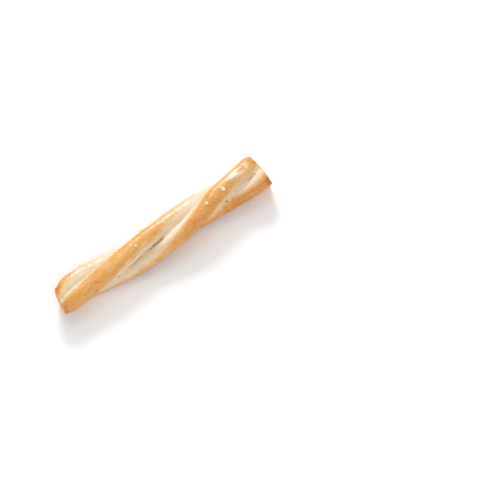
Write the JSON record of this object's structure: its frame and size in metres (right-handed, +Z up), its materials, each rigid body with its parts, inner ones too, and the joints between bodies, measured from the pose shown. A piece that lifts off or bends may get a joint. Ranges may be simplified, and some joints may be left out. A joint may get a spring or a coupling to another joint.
{
  "type": "twisted breadstick",
  "caption": "Slim crisp bar of baked bread dough, twisted so that round ridges and pale creased grooves wind along it, cut off at both ends and sprinkled with coarse salt.",
  "frame": {"origin": "middle of the bounding box, on the surface the stick lies on", "axes": "+X along the stick towards its wider cut end, +Z up from the surface it lies on"},
  "size_m": [0.1322, 0.0218, 0.0206],
  "materials": {
    "crust": "satin",
    "salt": "gloss"
  },
  "bodies": {
    "root": {"breadstick": "crust", "salt_grain_01": "salt", "salt_grain_02": "salt", "salt_grain_03": "salt", "salt_grain_04": "salt", "salt_grain_05": "salt", "salt_grain_06": "salt", "salt_grain_07": "salt", "salt_grain_08": "salt", "salt_grain_09": "salt", "salt_grain_10": "salt", "salt_grain_11": "salt", "salt_grain_12": "salt", "salt_grain_13": "salt", "salt_grain_14": "salt", "salt_grain_15": "salt", "salt_grain_16": "salt", "salt_grain_17": "salt"}
  },
  "joints": []
}
